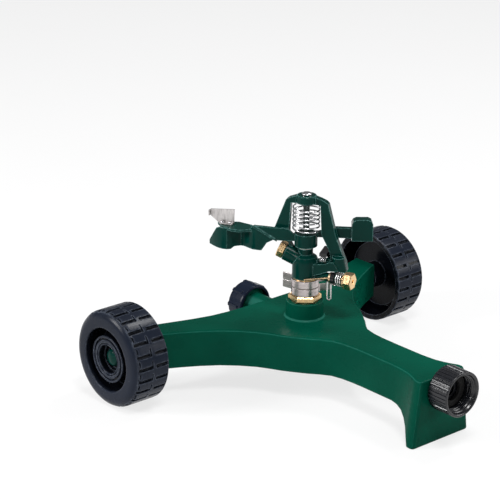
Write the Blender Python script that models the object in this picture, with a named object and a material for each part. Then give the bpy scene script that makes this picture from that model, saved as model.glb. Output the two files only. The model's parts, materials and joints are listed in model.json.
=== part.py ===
"""Impulse sprinkler on a wheeled, flow-through base.

Sizes are written in millimetres and turned into metres as the meshes are made. The part stands
on the ground at Z = 0. Inside this script Y is measured from the turning axis of the head; one
root empty then moves the whole object so that the middle of its box stands on the origin.
The hose inlet faces -Y, the wheels turn about X, and the head turns about Z.
"""
import math

import bmesh
import bpy
from mathutils import Matrix, Vector

MM = 0.001
GAP = 0.3                     # clearance between neighbouring pieces

# Base: a thin shell, open underneath, with two wheel arms and an inlet leg
TOP_Z = 51.5
SKIRT_Z = 22.5                # lower edge of the skirt
WALL = 2.6
EDGE_R = 2.4                  # the rounded top edge
HEM = 0.9                     # the rounded lower edge
REAR_Y = 43.5
ARM_END_X = 119.5
LEG_HALF = 15.5
FLARE_Y = -111.0              # the leg starts to flare down into the foot here
FLARE_LENGTH = 28.5
FLARE_SPREAD = 6.0            # how much wider the foot is at the ground than at the top
FOOT_Y = -147.5
HEAD_BOSS_R = 15.8            # the boss under the head, at its foot
HEAD_BOSS_TOP_Z = 64.2
NECK_R = 10.0                 # the neck between the base and the threaded outlet stub
NECK_END_Y = 59.6
AXLE_BOSS_R = 8.3
AXLE_BOSS_X = 108.0
AXLE_BORE_X = 106.5            # blind end of the axle bore; further in it would cut the rear wall
ROOT_SHIFT_Y = 37.85

# Water line
PIPE_Z = 42.07
PIPE_R = 6.5
PIPE_BORE = 4.75
PIPE_FRONT_Y = -151.5
PIPE_REAR_Y = 65.6
CHAMBER_R = 12.6
CHAMBER_BOTTOM_Z = 35.2
SOCKET_R = 10.9

# Wheels
WHEEL_R = 37.5
WHEEL_FACE_X = 151.3
WHEEL_WIDTH = 30.9
AXLE_Y = 54.0
AXLE_R = 6.2
TREAD_BLOCKS = 24
TREAD_DEPTH = 1.7
TREAD_GROOVE_DEG = 2.2
TREAD_START_DEG = 1.2
TREAD_LEVELS = ((-4.6, 37.4), (-16.5, WHEEL_R), (-19.0, WHEEL_R), (-30.3, WHEEL_R))
TREAD_ROWS = (0, 2)           # the grooves run from each of these levels to the next
RIM_FACETS = 40

# Hose inlet
NUT_FRONT_Y = -167.2
NUT_REAR_Y = -148.3
NUT_R = 17.2
NUT_BORE = 13.5
NUT_FLOOR = 3.0               # thickness of the nut's rear wall
NUT_THROAT_R = 9.9
SPUD_FLANGE_R = 12.6
SPUD_BORE = 5.2
HOSE_WASHER_R = 12.9
NUT_RIDGES = 36
RIDGE_DEPTH = 0.8

# Outlet and its cap
CAP_FRONT_Y = 56.8
CAP_BACK_Y = 72.0
CAP_R = 16.0
CAP_RIBS = 8
CAP_RIB_HEIGHT = 0.9
CAP_TURN_DEG = 3.4
STUB_R = 13.1
STUB_END_Y = 65.9

# Bearing between the base and the head
BEARING_BOTTOM_Z = 64.5
HEX_TOP_Z = 69.6
SEAT_R = 9.6                  # round seat of the two trip collars
SEAT_TOP_Z = 82.9
TUBE_R = 6.9
TUBE_BORE = 4.4

# Head; its own X runs along the range nozzle and its Z is the turning axis
HEAD_TURN_DEG = 123.0
COLUMN_R = 10.3
COLUMN_BOTTOM_Z = 83.4
BARREL_Z = 95.6               # height where the barrel's axis crosses the turning axis
BARREL_RISE_DEG = 22.7
BARREL_R = 7.1
BARREL_LENGTH = 17.0
BRIDGE_HALF = 2.6
PIN_R = 2.5
SPREADER_DEG = 167.0          # direction of the spreader's port in the head's own frame
PORT_Z = 86.3
PORT_R = 3.4
PORT_END = 33.2               # distance of the port's mouth from the turning axis
BOSS_TILT = 3.2               # how far the boss over the port leans outwards

# Trip lever, which turns about the port
LEVER_START = 21.4
EYE_END = 22.8
ROD_R = 0.7
LEVER_END = 26.0
SLEEVE_R = 4.5
TRIP_WIRE = 1.2
TRIP_COIL_R = 4.85

# Impact arm
HUB_TOP_Z = 118.6
HUB_BOTTOM_Z = 108.5
HUB_R = 8.8
VANE_TOP_Z = 122.6
ROOF_Z = 118.0
VANE_THICK = 2.3
RIVETS_X = (60.0, 66.0)       # the two rivets of the deflector plate
SPRING_R = 10.0
SPRING_WIRE = 1.5
SPRING_TURNS = -6.0           # negative: it winds up clockwise seen from above
SPRING_BOTTOM_Z = 121.3
SPRING_TOP_Z = 141.0

# Trip collars: directions of the tabs about the turning axis
COLLAR_HEIGHT = 5.9
COLLAR_LOWER_Z = 70.0
COLLAR_UPPER_Z = 76.3
TAB_R = 20.8
LOWER_TABS_DEG = (-258.0, -24.0)
UPPER_TABS_DEG = (-258.0, -10.0)


def clear_scene():
    for item in list(bpy.data.objects):
        bpy.data.objects.remove(item, do_unlink=True)


def material(name, color, roughness, metallic=0.0):
    found = bpy.data.materials.get(name)
    if found:
        return found
    made = bpy.data.materials.new(name)
    made.use_nodes = True
    made.diffuse_color = (*color, 1.0)
    shader = made.node_tree.nodes["Principled BSDF"]
    shader.inputs["Base Color"].default_value = (*color, 1.0)
    shader.inputs["Roughness"].default_value = roughness
    shader.inputs["Metallic"].default_value = metallic
    return made


def green_plastic(name):
    return material(name, (0.006, 0.075, 0.045), 0.38)


def black_plastic(name):
    return material(name, (0.022, 0.024, 0.032), 0.5)


def rubber(name):
    return material(name, (0.02, 0.02, 0.02), 0.85)


def nylon(name):
    return material(name, (0.62, 0.61, 0.57), 0.55)


def brass(name):
    return material(name, (0.68, 0.43, 0.16), 0.28, 1.0)


def steel(name):
    return material(name, (0.6, 0.58, 0.57), 0.3, 1.0)


def empty(name, parent=None, location=(0, 0, 0), turn_deg=0.0):
    made = bpy.data.objects.new(name, None)
    bpy.context.collection.objects.link(made)
    made.location = Vector(location) * MM
    made.rotation_euler = (0, 0, math.radians(turn_deg))
    made.parent = parent
    return made


def add_object(name, data, parent, look=None):
    made = bpy.data.objects.new(name, data)
    bpy.context.collection.objects.link(made)
    made.parent = parent
    if look:
        data.materials.append(look)
    return made


def mesh_object(name, work, parent, look=None, smooth_deg=35.0):
    """Turns a bmesh in millimetres into an object in metres with outward faces."""
    bmesh.ops.recalc_face_normals(work, faces=work.faces)
    bmesh.ops.scale(work, vec=(MM, MM, MM), verts=work.verts)
    data = bpy.data.meshes.new(name)
    work.to_mesh(data)
    work.free()
    data.shade_smooth()
    data.set_sharp_from_angle(angle=math.radians(smooth_deg))
    return add_object(name, data, parent, look)


def boolean(target, tool, operation):
    """Applies a tool object to a target; the tool itself isn't part of the model."""
    tool.hide_render = True
    tool.display_type = "WIRE"
    change = target.modifiers.new(tool.name, "BOOLEAN")
    change.operation = operation
    change.solver = "EXACT"
    change.object = tool


def cut(target, tool):
    boolean(target, tool, "DIFFERENCE")


def fuse(target, tool):
    boolean(target, tool, "UNION")


def loft(rings):
    """Joins rings of points and caps both ends."""
    work = bmesh.new()
    made = [[work.verts.new(point) for point in ring] for ring in rings]
    for first, second in zip(made, made[1:]):
        count = len(first)
        for i in range(count):
            j = (i + 1) % count
            work.faces.new((first[i], first[j], second[j], second[i]))
    work.faces.new(made[0])
    work.faces.new(made[-1])
    return work


def prism(outline, low, high):
    """An upright prism on an outline of (x, y) points."""
    return loft([[(x, y, low) for x, y in outline], [(x, y, high) for x, y in outline]])


def side_prism(outline, low, high):
    """A prism on an outline of (x, z) points, running along Y."""
    return loft([[(x, low, z) for x, z in outline], [(x, high, z) for x, z in outline]])


def circle(radius, count, start_deg=0.0, center=(0.0, 0.0)):
    points = []
    for i in range(count):
        angle = math.radians(start_deg + 360.0 * i / count)
        points.append((center[0] + radius * math.cos(angle), center[1] + radius * math.sin(angle)))
    return points


def lathe(profile, count=32, start_deg=0.0):
    """Turns a closed profile of (radius, height) points about Z; radius 0 makes a pole."""
    work = bmesh.new()
    rings = []
    for radius, height in profile:
        if radius == 0:
            rings.append([work.verts.new((0, 0, height))])
        else:
            ring = circle(radius, count, start_deg)
            rings.append([work.verts.new((x, y, height)) for x, y in ring])
    for first, second in zip(rings, rings[1:] + rings[:1]):
        if len(first) == 1 and len(second) == 1:
            continue
        for i in range(count):
            j = (i + 1) % count
            corners = [first[i % len(first)], first[j % len(first)]]
            corners += [second[j % len(second)], second[i % len(second)]]
            work.faces.new(list(dict.fromkeys(corners)))
    return work


def tube(outer, inner, low, high, count=32):
    return lathe([(outer, low), (outer, high), (inner, high), (inner, low)], count)


def disc(radius, low, high, count=32):
    return lathe([(0, low), (radius, low), (radius, high), (0, high)], count)


def place(work, center, direction=(0, 0, 1)):
    """Moves a shape made about Z so that its axis runs along a direction through a center."""
    turn = Vector(direction).to_track_quat("Z", "Y").to_matrix().to_4x4()
    bmesh.ops.transform(work, matrix=Matrix.Translation(center) @ turn, verts=work.verts)
    return work


def smooth_path(points, steps):
    """A Catmull-Rom curve through the points, with a number of steps between neighbours."""
    points = [Vector(point) for point in points]
    ends = [2 * points[0] - points[1]] + points + [2 * points[-1] - points[-2]]
    made = []
    for a, b, c, d in zip(ends, ends[1:], ends[2:], ends[3:]):
        for i in range(steps):
            t = i / steps
            spot = (2 * b + (c - a) * t + (2 * a - 5 * b + 4 * c - d) * t ** 2
                    + (3 * b - a - 3 * c + d) * t ** 3) / 2
            made.append(tuple(spot))
    made.append(tuple(points[-1]))
    return made


def sideways(points, i, closed=False):
    """The unit vector to the left of a plan path at point i, lengthened where the path bends."""
    count = len(points)
    here = Vector(points[i][:2])
    before = Vector(points[i - 1 if closed else max(i - 1, 0)][:2])
    after = Vector(points[(i + 1) % count if closed else min(i + 1, count - 1)][:2])
    into = (here - before).normalized() if (here - before).length else None
    out = (after - here).normalized() if (after - here).length else None
    into = into or out
    out = out or into
    mean = (into + out).normalized()
    normal = Vector((-mean.y, mean.x))
    return normal / max(0.6, mean.dot(into))


def ribbon(points, thickness, lows, highs):
    """An upright strip along a plan path, with its own low and high edge at each point."""
    rings = []
    for i, point in enumerate(points):
        here = Vector(point[:2])
        side = sideways(points, i) * thickness / 2
        left = here + side
        right = here - side
        rings.append([(left.x, left.y, lows[i]), (right.x, right.y, lows[i]),
                      (right.x, right.y, highs[i]), (left.x, left.y, highs[i])])
    return loft(rings)


def wire_object(name, points, radius, parent, look):
    """A round wire: a curve with a bevel and filled caps."""
    data = bpy.data.curves.new(name, "CURVE")
    data.dimensions = "3D"
    data.bevel_depth = radius * MM
    data.bevel_resolution = 1
    data.use_fill_caps = True
    run = data.splines.new("POLY")
    run.points.add(len(points) - 1)
    for spot, point in zip(run.points, points):
        spot.co = (*(value * MM for value in point), 1.0)
    return add_object(name, data, parent, look)


def coil_points(radius, low, high, turns, per_turn, start_deg, wire):
    """A helix whose two ends run straight for one wire diameter."""
    steps = round(abs(turns) * per_turn)
    points = []
    for i in range(steps + 1):
        angle = math.radians(start_deg) + 2 * math.pi * turns * i / steps
        points.append(Vector((radius * math.cos(angle), radius * math.sin(angle),
                              low + (high - low) * i / steps)))
    first = (points[0] - points[1]).normalized() * wire
    last = (points[-1] - points[-2]).normalized() * wire
    return [points[0] + first] + points + [points[-1] + last]


def least_gap(points, wire, per_turn):
    """The smallest clear distance between points of a coil that are half a turn or more apart."""
    least = min((a - b).length for i, a in enumerate(points) for b in points[i + per_turn // 2:])
    return least - wire


def base_outline():
    """The plan of the skirt from the rear middle round the right side, then mirrored."""
    rear = [(0, REAR_Y)] + smooth_path([(28, REAR_Y + 0.3), (55, 46.5), (85, 55), (112, 64)], 2)
    side = smooth_path([(ARM_END_X, 44.8), (96, 33.8), (70, 17.5), (51, -2.5), (41.5, -19.5),
                        (30, -36.5), (19, -51), (LEG_HALF + 0.3, -70), (LEG_HALF, -92),
                        (LEG_HALF, FLARE_Y)], 2)
    flare = smooth_path([(LEG_HALF, FLARE_Y), (LEG_HALF + 1.1, -124), (LEG_HALF + 4.5, -135),
                         (LEG_HALF + 7.4, -141), (LEG_HALF + 7.6, -145)], 2)[1:]
    corner = [(LEG_HALF + 6.9, FOOT_Y + 0.9), (LEG_HALF + 5.7, FOOT_Y + 0.15),
              (LEG_HALF + 4.4, FOOT_Y), (0, FOOT_Y)]
    half = rear + [(ARM_END_X, 66)] + side + flare + corner
    mirrored = [(-x, y) for x, y in reversed(half[1:-1])]
    return half + mirrored


def flared(outline):
    """The skirt's lower edge: it drops to the ground and spreads where the leg becomes the foot."""
    ring = []
    for x, y in outline:
        t = min(max((FLARE_Y - y) / FLARE_LENGTH, 0.0), 1.0)
        spread = FLARE_SPREAD * t ** 1.5 if abs(x) > 1 else 0.0
        ring.append((x + math.copysign(spread, x), y, SKIRT_Z * math.sqrt(1.0 - t * t)))
    return ring


def inset(ring, distance):
    """Moves a ring of points inwards in plan; the ring runs clockwise seen from above."""
    moved = []
    for i, point in enumerate(ring):
        spot = Vector(point[:2]) - sideways(ring, i, closed=True) * distance
        moved.append((spot.x, spot.y, *point[2:]))
    return moved


def base_shell():
    outline = base_outline()
    rounding = []
    for angle_deg in (90.0, 45.0, 0.0):
        angle = math.radians(angle_deg)
        height = TOP_Z - EDGE_R * (1 - math.sin(angle))
        rounding.append([(x, y, height) for x, y in inset(outline, EDGE_R * (1 - math.cos(angle)))])
    ground = flared(outline)
    hem = [(x, y, z + HEM) for x, y, z in ground]
    bottom = inset(ground, HEM * 0.6)
    inner_bottom = inset(ground, WALL)
    inner_top = [(x, y, TOP_Z - WALL) for x, y in inset(outline, WALL)]
    return loft(rounding + [hem, bottom, inner_bottom, inner_top])


def build_base(root):
    base = mesh_object("base_body", base_shell(), root, green_plastic("base_green"))
    boss = lathe([(0, TOP_Z - 1.9), (HEAD_BOSS_R, TOP_Z - 1.9), (HEAD_BOSS_R, TOP_Z + 0.2),
                  (HEAD_BOSS_R - 0.9, TOP_Z + 1.2), (HEAD_BOSS_R - 1.2, TOP_Z + 3.5),
                  (HEAD_BOSS_R - 1.5, HEAD_BOSS_TOP_Z), (0, HEAD_BOSS_TOP_Z)], 36)
    fuse(base, mesh_object("tool_head_boss", boss, root))
    neck = lathe([(0, REAR_Y - 2.2), (NECK_R, REAR_Y - 2.2), (NECK_R, NECK_END_Y),
                  (STUB_R - 0.5, NECK_END_Y + 0.2), (STUB_R, NECK_END_Y + 0.9),
                  (STUB_R, STUB_END_Y - 0.8), (STUB_R - 0.8, STUB_END_Y), (0, STUB_END_Y)], 28)
    place(neck, (0, 0, PIPE_Z), (0, 1, 0))
    fuse(base, mesh_object("tool_outlet_neck", neck, root))
    for side in (-1, 1):
        axle_boss = place(disc(AXLE_BOSS_R, AXLE_BOSS_X, ARM_END_X - 1.2, 24),
                          (0, AXLE_Y, WHEEL_R), (side, 0, 0))
        fuse(base, mesh_object("tool_axle_boss", axle_boss, root))
        near = side * (AXLE_BOSS_X + 0.5)
        far = side * (AXLE_BOSS_X + 9.5)
        rib = prism([(near, AXLE_Y - 1.5), (far, AXLE_Y - 1.5), (far, AXLE_Y + 1.5),
                     (near, AXLE_Y + 1.5)],
                    WHEEL_R + 7, TOP_Z - 1.2)
        fuse(base, mesh_object("tool_axle_rib", rib, root))
        bore = place(disc(AXLE_R + GAP, AXLE_BORE_X, ARM_END_X + 5.5, 24),
                     (0, AXLE_Y, WHEEL_R), (side, 0, 0))
        cut(base, mesh_object("tool_axle_bore", bore, root))
    cut(base, mesh_object("tool_bearing_socket", disc(SOCKET_R, 47, 66, 32), root))
    outlet_bore = place(disc(PIPE_R + GAP, 38, 72, 24), (0, 0, PIPE_Z), (0, 1, 0))
    cut(base, mesh_object("tool_outlet_bore", outlet_bore, root))
    inlet_bore = place(disc(PIPE_R + GAP, 142, 150, 24), (0, 0, PIPE_Z), (0, -1, 0))
    cut(base, mesh_object("tool_inlet_bore", inlet_bore, root))


def build_water_tube(root):
    """The pipe from the inlet to the outlet, with the chamber under the bearing."""
    pipe = place(disc(PIPE_R, PIPE_FRONT_Y, PIPE_REAR_Y, 20), (0, 0, PIPE_Z), (0, 1, 0))
    water = mesh_object("water_tube", pipe, root, black_plastic("pipe_black"))
    chamber = disc(CHAMBER_R, CHAMBER_BOTTOM_Z, TOP_Z - WALL - GAP, 24)
    fuse(water, mesh_object("tool_chamber", chamber, root))
    hollow = disc(SOCKET_R, CHAMBER_BOTTOM_Z + 2, TOP_Z + 8.5, 24)
    cut(water, mesh_object("tool_chamber_hollow", hollow, root))
    bore = place(disc(PIPE_BORE, PIPE_FRONT_Y - 3.5, PIPE_REAR_Y + 3.3, 20), (0, 0, PIPE_Z),
                 (0, 1, 0))
    cut(water, mesh_object("tool_pipe_bore", bore, root))


def ridged_outline(radius, depth, count):
    """A round outline with flat-topped ridges, four points for each ridge."""
    points = []
    for i in range(count):
        for part, r in ((0.0, radius), (0.52, radius), (0.66, radius - depth), (0.86, radius - depth)):
            angle = 2 * math.pi * (i + part) / count
            points.append((r * math.cos(angle), r * math.sin(angle)))
    return points


def build_inlet(root):
    """The swivel nut, the spud that holds it, and the hose washer, all about the inlet axis."""
    axis = empty("inlet_axis", root, (0, 0, PIPE_Z))
    levels = ((-NUT_REAR_Y, NUT_R - 0.3, RIDGE_DEPTH), (-NUT_FRONT_Y - 1.3, NUT_R, RIDGE_DEPTH),
              (-NUT_FRONT_Y - 0.8, NUT_R, 0.0), (-NUT_FRONT_Y, NUT_R - 0.6, 0.0))
    body = loft([[(x, y, z) for x, y in ridged_outline(r, depth, NUT_RIDGES)]
                 for z, r, depth in levels])
    place(body, (0, 0, 0), (0, -1, 0))
    nut = mesh_object("inlet_nut", body, axis, black_plastic("nut_black"))
    rear = -NUT_REAR_Y + NUT_FLOOR
    hollow = lathe([(0, rear), (NUT_BORE, rear), (NUT_BORE, -NUT_FRONT_Y - 2.4),
                    (NUT_BORE + 0.9, -NUT_FRONT_Y - 2.0), (NUT_BORE + 1.1, -NUT_FRONT_Y - 0.9),
                    (NUT_BORE + 2.5, -NUT_FRONT_Y + 0.5), (0, -NUT_FRONT_Y + 0.5)], 32)
    cut(nut, mesh_object("tool_nut_hollow", place(hollow, (0, 0, 0), (0, -1, 0)), axis))
    throat = place(disc(NUT_THROAT_R, -NUT_REAR_Y - 8, rear + 9, 28), (0, 0, 0), (0, -1, 0))
    cut(nut, mesh_object("tool_nut_throat", throat, axis))
    flange = rear + GAP
    seat = GAP - PIPE_FRONT_Y
    spud = lathe([(PIPE_R + GAP, 147.9), (9.5, 147.9), (9.5, flange), (SPUD_FLANGE_R, flange),
                  (SPUD_FLANGE_R, flange + 2.2), (SPUD_BORE, flange + 2.2), (SPUD_BORE, seat),
                  (PIPE_R + GAP, seat)], 24)
    mesh_object("inlet_spud", place(spud, (0, 0, 0), (0, -1, 0)), axis, black_plastic("spud_black"))
    washer = tube(HOSE_WASHER_R, 8.0, flange + 2.5, flange + 5.3, 24)
    mesh_object("hose_washer", place(washer, (0, 0, 0), (0, -1, 0)), axis, rubber("washer_rubber"))


def ribbed_outline(radius, rib_radius):
    """A circle with a few wide grip ribs standing on it."""
    points = []
    for rib in range(CAP_RIBS):
        for offset, r in ((-5.6, radius), (-4.1, rib_radius), (4.1, rib_radius), (5.6, radius),
                          (17.0, radius), (28.0, radius)):
            angle = math.radians(CAP_TURN_DEG + 360.0 * rib / CAP_RIBS + offset)
            points.append((r * math.cos(angle), r * math.sin(angle)))
    return points


def build_outlet(root):
    """The round cap with grip ribs on the rear outlet, and the washer that it presses."""
    axis = empty("outlet_axis", root, (0, 0, PIPE_Z))
    levels = ((CAP_FRONT_Y, CAP_R - 1.2, 0.0), (CAP_FRONT_Y + 0.6, CAP_R - 0.4, 0.0),
              (CAP_FRONT_Y + 1.8, CAP_R, 0.0), (CAP_FRONT_Y + 3.4, CAP_R, 0.0),
              (CAP_FRONT_Y + 4.0, CAP_R, CAP_RIB_HEIGHT), (CAP_BACK_Y - 0.8, CAP_R, CAP_RIB_HEIGHT),
              (CAP_BACK_Y, CAP_R - 0.8, CAP_RIB_HEIGHT))
    body = loft([[(x, y, height) for x, y in ribbed_outline(r, r + rib)] for height, r, rib in levels])
    cap = mesh_object("end_cap", place(body, (0, 0, 0), (0, 1, 0)), axis, black_plastic("cap_black"))
    hollow = place(disc(STUB_R + 0.4, CAP_FRONT_Y - 7.5, STUB_END_Y + 3.4, 32), (0, 0, 0),
                   (0, 1, 0))
    cut(cap, mesh_object("tool_cap_hollow", hollow, axis))
    washer = disc(STUB_R - 0.1, STUB_END_Y + 0.4, STUB_END_Y + 3.0, 28)
    mesh_object("end_cap_washer", place(washer, (0, 0, 0), (0, 1, 0)), axis,
                rubber("cap_washer_rubber"))


def zip_rings(work, first, second):
    """Joins two rings of (angle, vertex) pairs that may have different counts."""
    i = j = 0
    while i < len(first) or j < len(second):
        a = first[i % len(first)]
        b = second[j % len(second)]
        next_a = first[(i + 1) % len(first)][0] + 360.0 * ((i + 1) // len(first))
        next_b = second[(j + 1) % len(second)][0] + 360.0 * ((j + 1) // len(second))
        if j >= len(second) or (i < len(first) and next_a <= next_b):
            i += 1
            work.faces.new((a[1], first[i % len(first)][1], b[1]))
        else:
            j += 1
            work.faces.new((a[1], second[j % len(second)][1], b[1]))


def tread(work, levels, angles, sunk, floor_r):
    """The tread as a grid of cells round the wheel; the sunk cells lie on the groove floor.

    Each level is a height and a radius. Returns the first and the last ring.
    """
    def spot(angle, radius, height):
        turn = math.radians(angle)
        return work.verts.new((radius * math.cos(turn), radius * math.sin(turn), height))

    count = len(angles)
    top = [[spot(angle, radius, height) for angle in angles] for height, radius in levels]
    floor = {}

    def floor_vert(i, j):
        key = (i % count, j)
        if key not in floor:
            floor[key] = spot(angles[key[0]], floor_r, levels[j][0])
        return floor[key]

    def wall(a, b):
        (i, j), (k, m) = a, b
        work.faces.new((top[j][i % count], top[m][k % count], floor_vert(k, m), floor_vert(i, j)))

    for j in range(len(levels) - 1):
        for i in range(count):
            corners = ((i, j), (i + 1, j), (i + 1, j + 1), (i, j + 1))
            if not sunk(i, j):
                work.faces.new([top[m][k % count] for k, m in corners])
                continue
            work.faces.new([floor_vert(k, m) for k, m in corners])
            neighbours = ((i, j - 1), (i + 1, j), (i, j + 1), (i - 1, j))
            for index, (k, m) in enumerate(neighbours):
                if not sunk(k % count, m):
                    wall(corners[index], corners[(index + 1) % 4])
    for row in top:
        for vert in row:
            if not vert.link_faces:
                work.verts.remove(vert)
    return [list(zip(angles, ring)) for ring in (top[0], top[-1])]


def wheel_mesh():
    """One wheel about Z, its outer face at height 0 and its inner edge at -WHEEL_WIDTH."""
    work = bmesh.new()
    pitch = 360.0 / TREAD_BLOCKS

    def ring(radius, height):
        made = []
        for i in range(RIM_FACETS):
            angle = 360.0 * i / RIM_FACETS
            turn = math.radians(angle)
            spot = (radius * math.cos(turn), radius * math.sin(turn), height)
            made.append((angle, work.verts.new(spot)))
        return made

    def quads(first, second):
        for i in range(len(first)):
            j = (i + 1) % len(first)
            work.faces.new((first[i][1], first[j][1], second[j][1], second[i][1]))

    def sunk(i, j):
        return i % 2 == 0 and j in TREAD_ROWS

    angles = []
    for i in range(TREAD_BLOCKS):
        angles.append(TREAD_START_DEG + i * pitch)
        angles.append(TREAD_START_DEG + i * pitch + TREAD_GROOVE_DEG)
    outer, inner = tread(work, TREAD_LEVELS, angles, sunk, WHEEL_R - TREAD_DEPTH)
    outside = [(36.1, -2.7), (33.4, -0.6), (25.2, 0.0), (24.5, -0.9), (24.4, -17.0), (18.6, -17.0),
               (18.4, -2.2), (17.0, -1.9), (16.1, -2.9), (15.2, -2.0), (11.7, -2.0), (11.1, -5.2),
               (9.6, -5.4), (9.4, -10.4), (AXLE_R + GAP, -10.4)]
    inside = [(33.6, -WHEEL_WIDTH), (33.0, -6.0), (27.4, -3.8), (27.2, -20.0), (10.6, -20.0),
              (10.2, -WHEEL_WIDTH), (AXLE_R + GAP, -WHEEL_WIDTH)]
    outside_rings = [ring(r, h) for r, h in outside]
    inside_rings = [ring(r, h) for r, h in inside]
    zip_rings(work, outside_rings[0], outer)
    zip_rings(work, inner, inside_rings[0])
    for rings in (outside_rings, inside_rings):
        for first, second in zip(rings, rings[1:]):
            quads(first, second)
    quads(outside_rings[-1], inside_rings[-1])
    return work


def build_wheels(root):
    for name, side in (("left", -1), ("right", 1)):
        axis = empty("axle_" + name, root, (0, AXLE_Y, WHEEL_R))
        wheel = place(wheel_mesh(), (side * WHEEL_FACE_X, 0, 0), (side, 0, 0))
        mesh_object("wheel_" + name, wheel, axis, black_plastic("wheel_black"))
        pin = lathe([(0, 109.5), (5.4, 109.5), (AXLE_R, 110.6), (AXLE_R, 141.2), (6.9, 141.2),
                     (6.8, 144.0), (5.6, 145.6), (3.0, 146.6), (0, 146.8)], 20)
        mesh_object("axle_pin_" + name, place(pin, (0, 0, 0), (side, 0, 0)), axis,
                    green_plastic("pin_green"))


def build_bearing(root):
    """The brass nut in the base, the tube that turns in it, and the washers between them."""
    hexagon = lathe([(0, BEARING_BOTTOM_Z), (11.4, BEARING_BOTTOM_Z), (12.7, BEARING_BOTTOM_Z + 1.2),
                     (12.7, HEX_TOP_Z - 0.9), (11.6, HEX_TOP_Z), (0, HEX_TOP_Z)], 6, 18.7)
    nut = mesh_object("bearing_nut", hexagon, root, brass("bearing_brass"))
    shank = disc(SOCKET_R - GAP, 50.4, BEARING_BOTTOM_Z + 1, 28)
    fuse(nut, mesh_object("tool_nut_shank", shank, root))
    seat = disc(SEAT_R, HEX_TOP_Z - 1, SEAT_TOP_Z, 32)
    fuse(nut, mesh_object("tool_nut_seat", seat, root))
    cut(nut, mesh_object("tool_nut_bore", disc(TUBE_R + GAP, 45, 90, 28), root))


def build_head_bearing(head):
    turned = lathe([(TUBE_BORE, 44.5), (9.6, 44.5), (9.6, 47.0), (TUBE_R, 47.0), (TUBE_R, 92.5),
                    (TUBE_BORE, 92.5)], 28)
    mesh_object("bearing_tube", turned, head, brass("tube_brass"))
    mesh_object("bearing_washer_lower", tube(9.6, TUBE_R + GAP, 47.3, 48.5, 28), head,
                rubber("bearing_rubber"))
    mesh_object("bearing_washer_upper", tube(9.6, TUBE_R + GAP, 48.8, 50.0, 28), head,
                nylon("bearing_nylon"))
    wire = 1.0
    points = coil_points(8.1, 83.8, 89.1, 2.5, 9, 0.0, wire)
    print("bearing spring gap mm", round(least_gap(points, wire, 9), 2))
    wire_object("bearing_spring", points, wire / 2, head, steel("bearing_spring_steel"))


def collar_mesh(tabs, low):
    """A sprung band round the bearing seat, with both ends turned out as finger tabs."""
    radius = SEAT_R + GAP + 0.4
    first, last = tabs
    steps = 22
    path = []
    for r in (TAB_R, radius + 1.4):
        path.append((r * math.cos(math.radians(first)), r * math.sin(math.radians(first))))
    for i in range(steps + 1):
        angle = math.radians(first + 7.0 + (last - first - 14.0) * i / steps)
        path.append((radius * math.cos(angle), radius * math.sin(angle)))
    for r in (radius + 1.4, TAB_R):
        path.append((r * math.cos(math.radians(last)), r * math.sin(math.radians(last))))
    return ribbon(path, 0.8, [low] * len(path), [low + COLLAR_HEIGHT] * len(path))


def build_collars(root):
    for name, tabs, low in (("trip_collar_lower", LOWER_TABS_DEG, COLLAR_LOWER_Z),
                            ("trip_collar_upper", UPPER_TABS_DEG, COLLAR_UPPER_Z)):
        mesh_object(name, collar_mesh(tabs, low), root, steel("collar_steel"))


def barrel_point(along, across=0.0):
    """A point in the head's X-Z plane, measured along and across the barrel's axis."""
    rise = math.radians(BARREL_RISE_DEG)
    return (along * math.cos(rise) - across * math.sin(rise), 0.0,
            BARREL_Z + along * math.sin(rise) + across * math.cos(rise))


def barrel_direction():
    rise = math.radians(BARREL_RISE_DEG)
    return (math.cos(rise), 0.0, math.sin(rise))


def port_direction():
    turn = math.radians(SPREADER_DEG)
    return (math.cos(turn), math.sin(turn), 0.0)


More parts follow.
